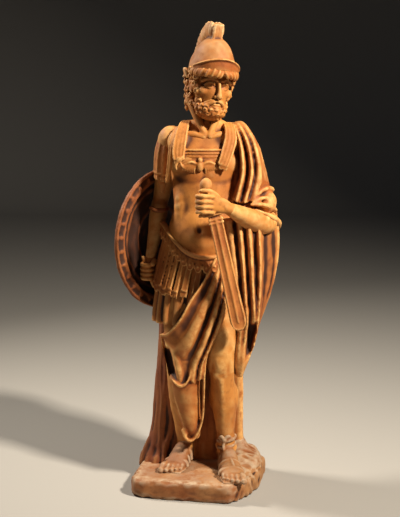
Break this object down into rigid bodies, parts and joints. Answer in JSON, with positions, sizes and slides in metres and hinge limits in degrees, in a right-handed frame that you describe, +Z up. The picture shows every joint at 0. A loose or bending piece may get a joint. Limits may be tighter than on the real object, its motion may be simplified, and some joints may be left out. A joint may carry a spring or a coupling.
{
  "type": "terracotta statue of a war god",
  "caption": "Fired-clay statue of a bearded war god in crested helmet, moulded cuirass and draped cloak, holding a sheathed sword and a round shield, on a low plinth.",
  "frame": {"origin": "under the middle of the plinth, in the plane of its flat underside", "axes": "+Z up; the figure faces -Y; +X is towards the figure's left hand, which holds the sword"},
  "size_m": [0.3616, 0.3368, 0.9971],
  "materials": {
    "terracotta": "unglazed fired clay, matt, warm orange-brown, with a paler worn skin"
  },
  "bodies": {
    "root": {"statue": "terracotta"}
  },
  "joints": []
}
